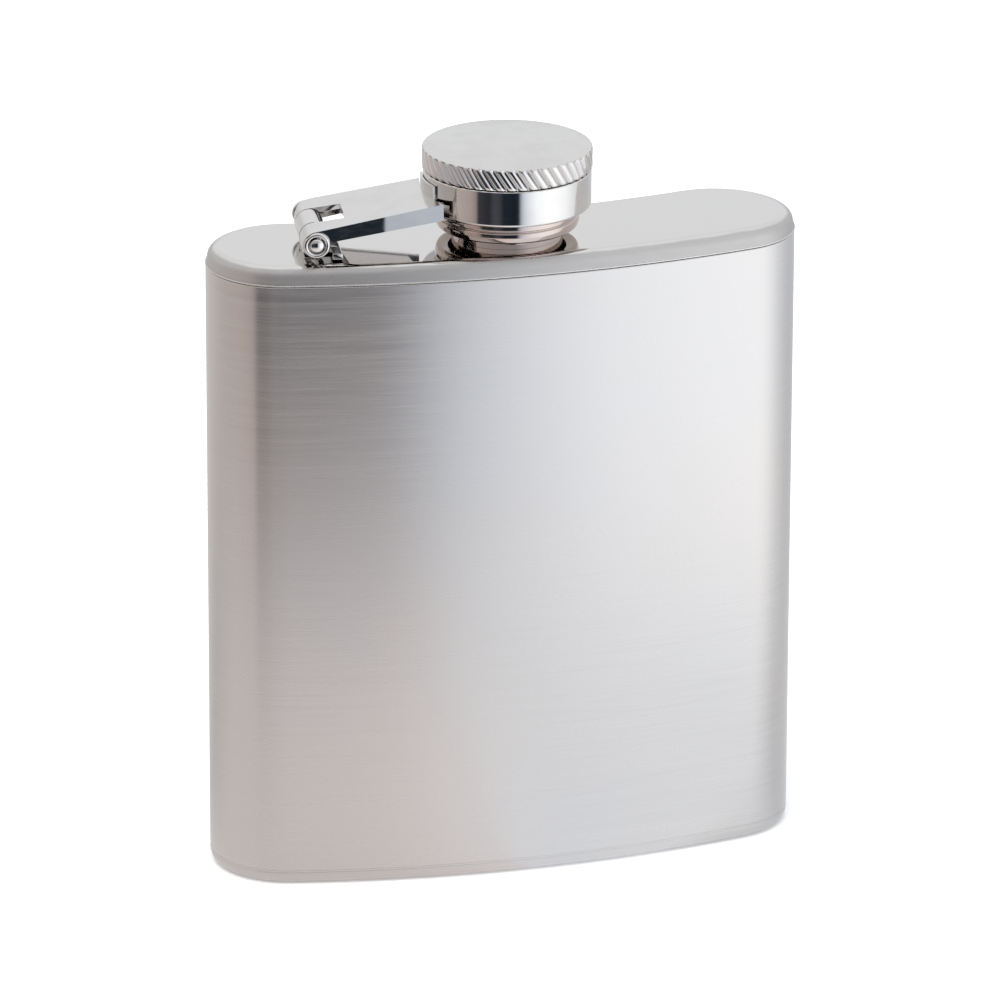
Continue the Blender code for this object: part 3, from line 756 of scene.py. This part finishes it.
def captive_arm(material):
    """The folded sheet arm: top sheet, two lips, ears rolled round the pin, and a tab against the ring."""
    tangent = math.asin((EYE_RADIUS - LIP_AT_PIN) / EYE_RADIUS)
    section = arc((0, 0), EYE_RADIUS, math.pi / 2, 2 * math.pi + tangent, 56)
    section += [(REACH, EYE_RADIUS - LIP_AT_CAP), (REACH, EYE_RADIUS)]
    wide = 2 * PIN_HALF
    obj = section_tool("captive_arm", section, wide)

    inner = EYE_RADIUS - STRAP_SHEET
    far = 2 * EYE_RADIUS
    channel = arc((0, 0), inner, math.pi / 2, math.radians(215), 24)
    channel += [(-far, -far), (REACH + far, -far), (REACH + far, inner)]
    hollow = section_tool("cut_channel", channel, wide)
    combine(hollow, [(plan_tool("keep_channel", strap_plan(STRAP_SHEET, -2 * far)), "INTERSECT")])
    slot = [(-far, -far), (SLOT_REACH, -far), (SLOT_REACH, far), (-far, far)]
    hole = arc((0, 0), PIN_RADIUS + 0.00028, 0, 2 * math.pi * 47 / 48, 47)
    end_cut = [(STRAP_END_RADIUS, -0.02), (STRAP_END_RADIUS, 0.02), (0, 0.02), (0, -0.02)]
    end_place = Vector((*from_hinge(REACH + STRAP_END_RADIUS - RING_RADIUS - 0.00012, 0), 0))
    (near_x, near_depth), (far_x, far_depth) = BACK_LIP
    lip = [(near_x, EYE_RADIUS - near_depth), (far_x, EYE_RADIUS - far_depth), (far_x, 0), (0, 0)]
    back_lip = as_object("add_back_lip", slab([tilted(*p) for p in lip], STRAP_HALF_AT_PIN / 2, wide))
    tools = [
        (back_lip, "UNION"),
        (plan_tool("keep_plan", strap_plan(0, -far, FRONT_CORNER)), "INTERSECT"),
        (hollow, "DIFFERENCE"),
        (section_tool("cut_slot", slot, SLOT_WIDTH / 2), "DIFFERENCE"),
        (section_tool("cut_hole", hole, wide), "DIFFERENCE"),
        (as_object("cut_end", lathe(end_cut, end_place, 384)), "DIFFERENCE"),
        (tab_tool(), "UNION"),
    ]
    combine(obj, tools)
    soft = obj.modifiers.new("soft_edges", "BEVEL")
    soft.width = ARM_EDGE
    soft.segments = 3
    soft.limit_method = "ANGLE"
    soft.angle_limit = math.radians(40)
    return piece(at_hinge(obj), "strap", "polished_arm", material, "retaining_strap")


def arm_floor(material):
    """A thin sheet that closes the arm's hollow from the slot to the ring, just inside its folded edges."""
    thick = 0.0003
    set_in = 0.0001
    (near_x, near_depth), (far_x, far_depth) = BACK_LIP
    bm = bmesh.new()
    rows = []
    for along in (SLOT_REACH + 0.0012, 0.0172):
        half = STRAP_HALF_AT_PIN - STRAP_SHEET / 2 - (STRAP_HALF_AT_PIN - STRAP_HALF_AT_CAP) * along / REACH
        ring = []
        for side, thickness in ((-1, 0), (1, 0), (1, thick), (-1, thick)):
            x, y = from_hinge(along, side * half)
            depth = LIP_AT_PIN + (LIP_AT_CAP - LIP_AT_PIN) * x / REACH
            if side > 0:
                depth = near_depth + (far_depth - near_depth) * (x - near_x) / (far_x - near_x)
            across, up = tilted(x, EYE_RADIUS - depth + set_in + thickness)
            ring.append(bm.verts.new((across, y, up)))
        rows.append(ring)
    for i in range(4):
        j = (i + 1) % 4
        bm.faces.new((rows[0][i], rows[0][j], rows[1][j], rows[1][i]))
    bm.faces.new(rows[0])
    bm.faces.new(rows[1])
    return piece(at_hinge(as_object("arm_floor", bm)), "strap", "polished_arm", material)


# ---------------------------------------------------------------- ring, sleeve and cap

def on_plate(profile):
    """Heights above the plate made into heights in the frame."""
    return [(r, HEIGHT + z) for r, z in profile]


CAP_CENTRE = Vector((CAP_AXIS.x, CAP_AXIS.y, 0))


def collar_band(material):
    profile = rounded([(RING_BORE, RING_BOTTOM, 0.0002), (RING_RADIUS, RING_BOTTOM, 0.0005),
                       (RING_RADIUS, RING_TOP, 0.0002), (RING_BORE, RING_TOP, 0.0001)], 6)
    obj = as_object("collar_band", lathe(on_plate(profile), CAP_CENTRE, 192), sharp=60)
    return piece(obj, "strap", "polished_fitting", material, "collar_ring")


def sleeve_tube(material):
    """The inner tube of the cap: a flange step under the ring, a groove, and a skirt with a rolled edge."""
    corners = [(SLEEVE_BORE, 0.0023, 0.0001), (0.0092, 0.0021, 0.0001), (0.0092, 0.0019, 0.0001),
               (0.0103, 0.0016, 0.0002), (0.0108, 0.00165, 0.0002), (0.0110, 0.0019, 0.0002),
               (0.0112, 0.0026, 0.0006), (0.0112, 0.0033, 0.0003), (0.0109, 0.0035, 0.0001),
               (0.0113, 0.0037, 0.0002), (0.0113, 0.0046, 0.00015), (SLEEVE_RADIUS, 0.0046, 0),
               (SLEEVE_RADIUS, SLEEVE_TOP, 0.0002), (SLEEVE_BORE, SLEEVE_TOP, 0.0002)]
    obj = as_object("sleeve_tube", lathe(on_plate(rounded(corners, 4)), CAP_CENTRE, 192), sharp=50)
    return piece(obj, "cap", "polished_fitting", material, "cap_sleeve")


def sealing_disc(material):
    """The soft disc with a raised sealing rib where the neck's lip meets it."""
    low = SEAL_TOP - SEAL_THICKNESS
    rib = (BORE_RADIUS + NECK_RADIUS) / 2
    face = low + SEAL_RIB
    profile = [(0, face), (rib - 0.0012, face)]
    profile += [(rib + 0.0006 * math.cos(a), face - SEAL_RIB * math.sin(a))
                for a in [math.pi * (1 - i / 8) for i in range(9)]]
    profile += [(SEAL_RADIUS - 0.0003, face), (SEAL_RADIUS, low + 0.0005), (SEAL_RADIUS, SEAL_TOP),
                (0, SEAL_TOP)]
    obj = as_object("sealing_disc", lathe(on_plate(profile), CAP_CENTRE, 96))
    return piece(obj, "cap", "seal", material, "cap_seal")


def knurled_ring(z, radius, depth, steps=12):
    """One level of the knurl: V grooves between rounded ridges, turned by the grooves' lean."""
    twist = -(z - CAP_BOTTOM) * math.tan(KNURL_LEAN) / CAP_RADIUS
    points = []
    for i in range(KNURL_COUNT * steps):
        part = i / steps % 1.0
        groove = max(0.0, 1 - abs(part - 0.5) / 0.30)
        ridge = 0.06 * (1 - math.cos(2 * math.pi * part))
        r = radius - depth * max(groove, ridge)
        a = 2 * math.pi * i / (KNURL_COUNT * steps) + twist
        points.append((CAP_AXIS.x + r * math.cos(a), CAP_AXIS.y + r * math.sin(a), HEIGHT + z))
    return points


def cap_crown(material):
    """The knurled cap: a ring-shaped pocket for the sleeve, a clean edge above the knurl, a low domed top."""
    boss = SLEEVE_BORE - WELD_GAP
    recess = SLEEVE_RADIUS + WELD_GAP
    recess_top = SLEEVE_TOP + WELD_GAP
    root = CAP_RADIUS - KNURL_DEPTH
    rings = [knurled_ring(SEAL_TOP + WELD_GAP, boss, 0), knurled_ring(recess_top, boss, 0),
             knurled_ring(recess_top, recess, 0), knurled_ring(CAP_BOTTOM, recess, 0),
             knurled_ring(CAP_BOTTOM, root + 0.00005, 0),
             knurled_ring(CAP_BOTTOM + 0.00012, CAP_RADIUS - 0.0001, KNURL_DEPTH - 0.0001)]
    low, high = CAP_BOTTOM + 0.00025, CAP_EDGE - 0.00022
    rings += [knurled_ring(low + (high - low) * k / 8, CAP_RADIUS, KNURL_DEPTH) for k in range(9)]
    edge = CAP_RADIUS - 0.00018
    rings += [knurled_ring(CAP_EDGE - 0.00012, CAP_RADIUS - 0.00004, KNURL_DEPTH * 0.7),
              knurled_ring(CAP_EDGE - 0.00003, CAP_RADIUS - 0.0001, KNURL_DEPTH * 0.25),
              knurled_ring(CAP_EDGE, edge, 0)]
    fall = [0.97, 0.9, 0.8, 0.65, 0.5, 0.35, 0.2, 0.08]
    rings += [knurled_ring(CAP_EDGE + CAP_DOME * (1 - part ** 2), edge * part, 0) for part in fall]
    obj = as_object("cap_crown", skin(rings), sharp=38)
    return piece(obj, "cap", "polished_cap", material, "cap_head")


# ---------------------------------------------------------------- studio

def direction(azimuth, elevation):
    """Unit vector; azimuth 0 faces the flask's front and +90 its right."""
    a, e = math.radians(azimuth), math.radians(elevation)
    return Vector((math.sin(a) * math.cos(e), -math.cos(a) * math.cos(e), math.sin(e)))


STUDIO_GAIN = (1.32, 1.36, 1.405)                  # makes up for what the steel itself takes
SEEN_BACKDROP = (0.95, 0.95, 0.95)
# What stands round the flask, as (azimuth, colour): a warm board and dark flag at the front left, a cool
# panel at the front right and pale walls. Azimuth 0 is the front and +90 the right.
LOW_TONES = (
    (-180, (0.56, 0.55, 0.54)), (-142, (0.58, 0.54, 0.52)), (-113, (0.50, 0.455, 0.435)),
    (-83, (0.46, 0.39, 0.36)), (-66, (0.41, 0.335, 0.31)), (-59, (0.30, 0.25, 0.235)),
    (-55, (0.045, 0.042, 0.045)), (-40, (0.022, 0.026, 0.032)), (-33, (0.06, 0.062, 0.07)),
    (-26, (0.05, 0.053, 0.062)), (-20, (0.015, 0.02, 0.028)), (-10, (0.012, 0.018, 0.026)),
    (-6, (0.010, 0.015, 0.022)), (-1, (0.014, 0.02, 0.03)), (0.8, (0.05, 0.06, 0.075)),
    (3, (0.32, 0.36, 0.42)), (5.5, (0.52, 0.56, 0.62)), (8, (0.66, 0.70, 0.76)),
    (12, (0.79, 0.82, 0.88)), (19, (0.95, 0.975, 1.02)), (26, (1.08, 1.10, 1.13)),
    (34, (1.12, 1.135, 1.16)), (42, (1.18, 1.19, 1.21)), (60, (1.15, 1.155, 1.16)),
    (72, (1.05, 1.055, 1.06)), (90, (0.80, 0.81, 0.825)), (110, (0.62, 0.625, 0.645)),
    (130, (0.54, 0.54, 0.555)), (160, (0.52, 0.515, 0.53)), (180, (0.56, 0.55, 0.54)))
# The same higher up.
HIGH_TONES = (
    (-180, (0.71, 0.71, 0.71)), (-120, (0.68, 0.66, 0.65)), (-70, (0.50, 0.46, 0.44)),
    (-30, (0.40, 0.385, 0.40)), (5, (0.41, 0.41, 0.43)), (30, (0.74, 0.75, 0.78)),
    (60, (0.86, 0.86, 0.87)), (100, (0.74, 0.74, 0.75)), (180, (0.71, 0.71, 0.71)))
TABLE_TONES = (
    (-180, (0.60, 0.57, 0.55)), (-125, (0.52, 0.50, 0.49)), (-95, (0.66, 0.615, 0.595)),
    (-75, (0.68, 0.63, 0.61)), (-40, (0.76, 0.70, 0.685)), (-8, (0.82, 0.77, 0.76)),
    (4, (0.83, 0.83, 0.845)), (25, (0.82, 0.83, 0.86)), (62, (0.86, 0.865, 0.88)),
    (85, (0.60, 0.60, 0.61)), (180, (0.60, 0.59, 0.58)))


def studio_world():
    """The soft studio that the steel reflects: its low tones, its high tones and a plain crown overhead."""
    world = bpy.data.worlds.new("studio")
    bpy.context.scene.world = world
    world.use_nodes = True
    tree = world.node_tree
    tree.nodes.clear()
    where = add(tree, "ShaderNodeSeparateXYZ", in_Vector=add(tree, "ShaderNodeTexCoord").outputs["Generated"])
    x, y, z = where.outputs
    azimuth = azimuth_of(tree, x, y)
    low = tones_round(tree, azimuth, LOW_TONES)
    high = tones_round(tree, azimuth, HIGH_TONES)
    crown = blend_colour(tree, remap(tree, z, 0.55, 0.95, 0.0, 1.0), high, (0.8, 0.8, 0.8, 1))
    sky = blend_colour(tree, remap(tree, z, 0.02, 0.30, 0.0, 1.0), low, crown)
    lit = blend_colour(tree, 1.0, sky, (*STUDIO_GAIN, 1), "MULTIPLY")
    seen = add(tree, "ShaderNodeLightPath").outputs["Is Camera Ray"]
    mixed = blend_colour(tree, seen, lit, (*SEEN_BACKDROP, 1))
    background = add(tree, "ShaderNodeBackground", in_Color=mixed, in_Strength=1.0)
    output = add(tree, "ShaderNodeOutputWorld")
    tree.links.new(background.outputs[0], output.inputs[0])


def stage_plane(name, half, z):
    bm = bmesh.new()
    bmesh.ops.create_grid(bm, x_segments=1, y_segments=1, size=half)
    obj = as_object(name, bm)
    obj.location.z = z
    return obj


def pale_floor():
    """The wide pale floor. It is lit, but the steel reflects the table top in its place."""
    obj = stage_plane("floor", 12.0, -0.0002)
    obj.visible_glossy = False
    obj.data.materials.append(new_material("pale_floor", (0.93, 0.93, 0.93), 0.8, 0.0)[0])


def table_top():
    """The table's top as the steel reflects it: pale near the flask, fading out further away."""
    obj = stage_plane("table_top", 0.5, -0.0001)
    obj.visible_camera = False
    obj.visible_diffuse = False
    obj.visible_shadow = False
    material = bpy.data.materials.new("table_top")
    material.use_nodes = True
    tree = material.node_tree
    tree.nodes.clear()
    x, y, _ = place_of(tree)
    far = maths(tree, "SQRT", maths(tree, "ADD", maths(tree, "POWER", x, 2.0), maths(tree, "POWER", y, 2.0)))
    colour = tones_round(tree, azimuth_of(tree, x, y), TABLE_TONES)
    lit = blend_colour(tree, 1.0, colour, (*STUDIO_GAIN, 1), "MULTIPLY")
    glow = add(tree, "ShaderNodeEmission", in_Color=lit, in_Strength=1.0)
    reach = maths(tree, "MULTIPLY", far, remap(tree, x, -0.02, 0.05, 1.0, 1.5))
    clear = add(tree, "ShaderNodeBsdfTransparent")
    mix = add(tree, "ShaderNodeMixShader", in_0=remap(tree, reach, 0.13, 0.31, 0.0, 1.0),
              in_1=glow.outputs[0], in_2=clear.outputs[0])
    output = add(tree, "ShaderNodeOutputMaterial")
    tree.links.new(mix.outputs[0], output.inputs[0])
    obj.data.materials.append(material)


def soft_light(name, azimuth, elevation, distance, size, power):
    """A large soft box aimed at the flask. It lights the floor and stays out of the steel's reflections."""
    data = bpy.data.lights.new(name, "AREA")
    data.size = size
    data.energy = power
    obj = bpy.data.objects.new(name, data)
    back = direction(azimuth, elevation)
    obj.location = back * distance
    obj.rotation_mode = "QUATERNION"
    obj.rotation_quaternion = (-back).to_track_quat("-Z", "Y")
    obj.visible_glossy = False
    bpy.context.collection.objects.link(obj)


CAMERA_AZIMUTH = -15.5375
CAMERA_ELEVATION = 20.3218
CAMERA_DISTANCE = 1.39066
CAMERA_AIM = Vector((0, -0.001765, 0.0475))
VIEW_AZIMUTH = CAMERA_AZIMUTH + 0.0501
VIEW_ELEVATION = 19.9278
VIEW_ROLL = math.radians(0.187)
LENS = 319.17


def camera():
    data = bpy.data.cameras.new("camera")
    data.sensor_width = 36
    data.lens = LENS
    data.clip_start, data.clip_end = 0.05, 50
    obj = bpy.data.objects.new("camera", data)
    obj.location = CAMERA_AIM + direction(CAMERA_AZIMUTH, CAMERA_ELEVATION) * CAMERA_DISTANCE
    back = direction(VIEW_AZIMUTH, VIEW_ELEVATION)
    turn = (-back).to_track_quat("-Z", "Y").to_matrix().to_4x4() @ Matrix.Rotation(VIEW_ROLL, 4, "Z")
    obj.rotation_mode = "QUATERNION"
    obj.rotation_quaternion = turn.to_quaternion()
    bpy.context.collection.objects.link(obj)
    bpy.context.scene.camera = obj


# ---------------------------------------------------------------- the whole

def build():
    body = brushed_steel("brushed_body_steel")
    bright = chrome("bright_chrome")
    weld = weld_metal()
    body_skin(body)
    top_pan(pan_steel("top_pan_steel"))
    bottom_pan(brushed_steel("bottom_pan_steel", 0.34))
    upper_weld(weld)
    lower_weld(body)
    # The neck and sleeve's chrome carries a painted brown reflection in its colour.
    warm = chrome("neck_painted_reflection_chrome", 0.08, NECK_PAINTED_REFLECTION)
    spout(warm)
    hinge_leaf(bright)
    rivet_pin(bright)
    eye_rings(bright)
    captive_arm(arm_chrome())
    arm_floor(chrome("underside_chrome", 0.14, UNDERSIDE_CHROME))
    collar_band(bright)
    sleeve_tube(warm)
    sealing_disc(silicone())
    cap_crown(chrome("cap_chrome", 0.10))


camera()
studio_world()
pale_floor()
table_top()
soft_light("key_light", -35, 62, 1.6, 1.4, 22)
bpy.context.scene.view_settings.view_transform = "Standard"
build()
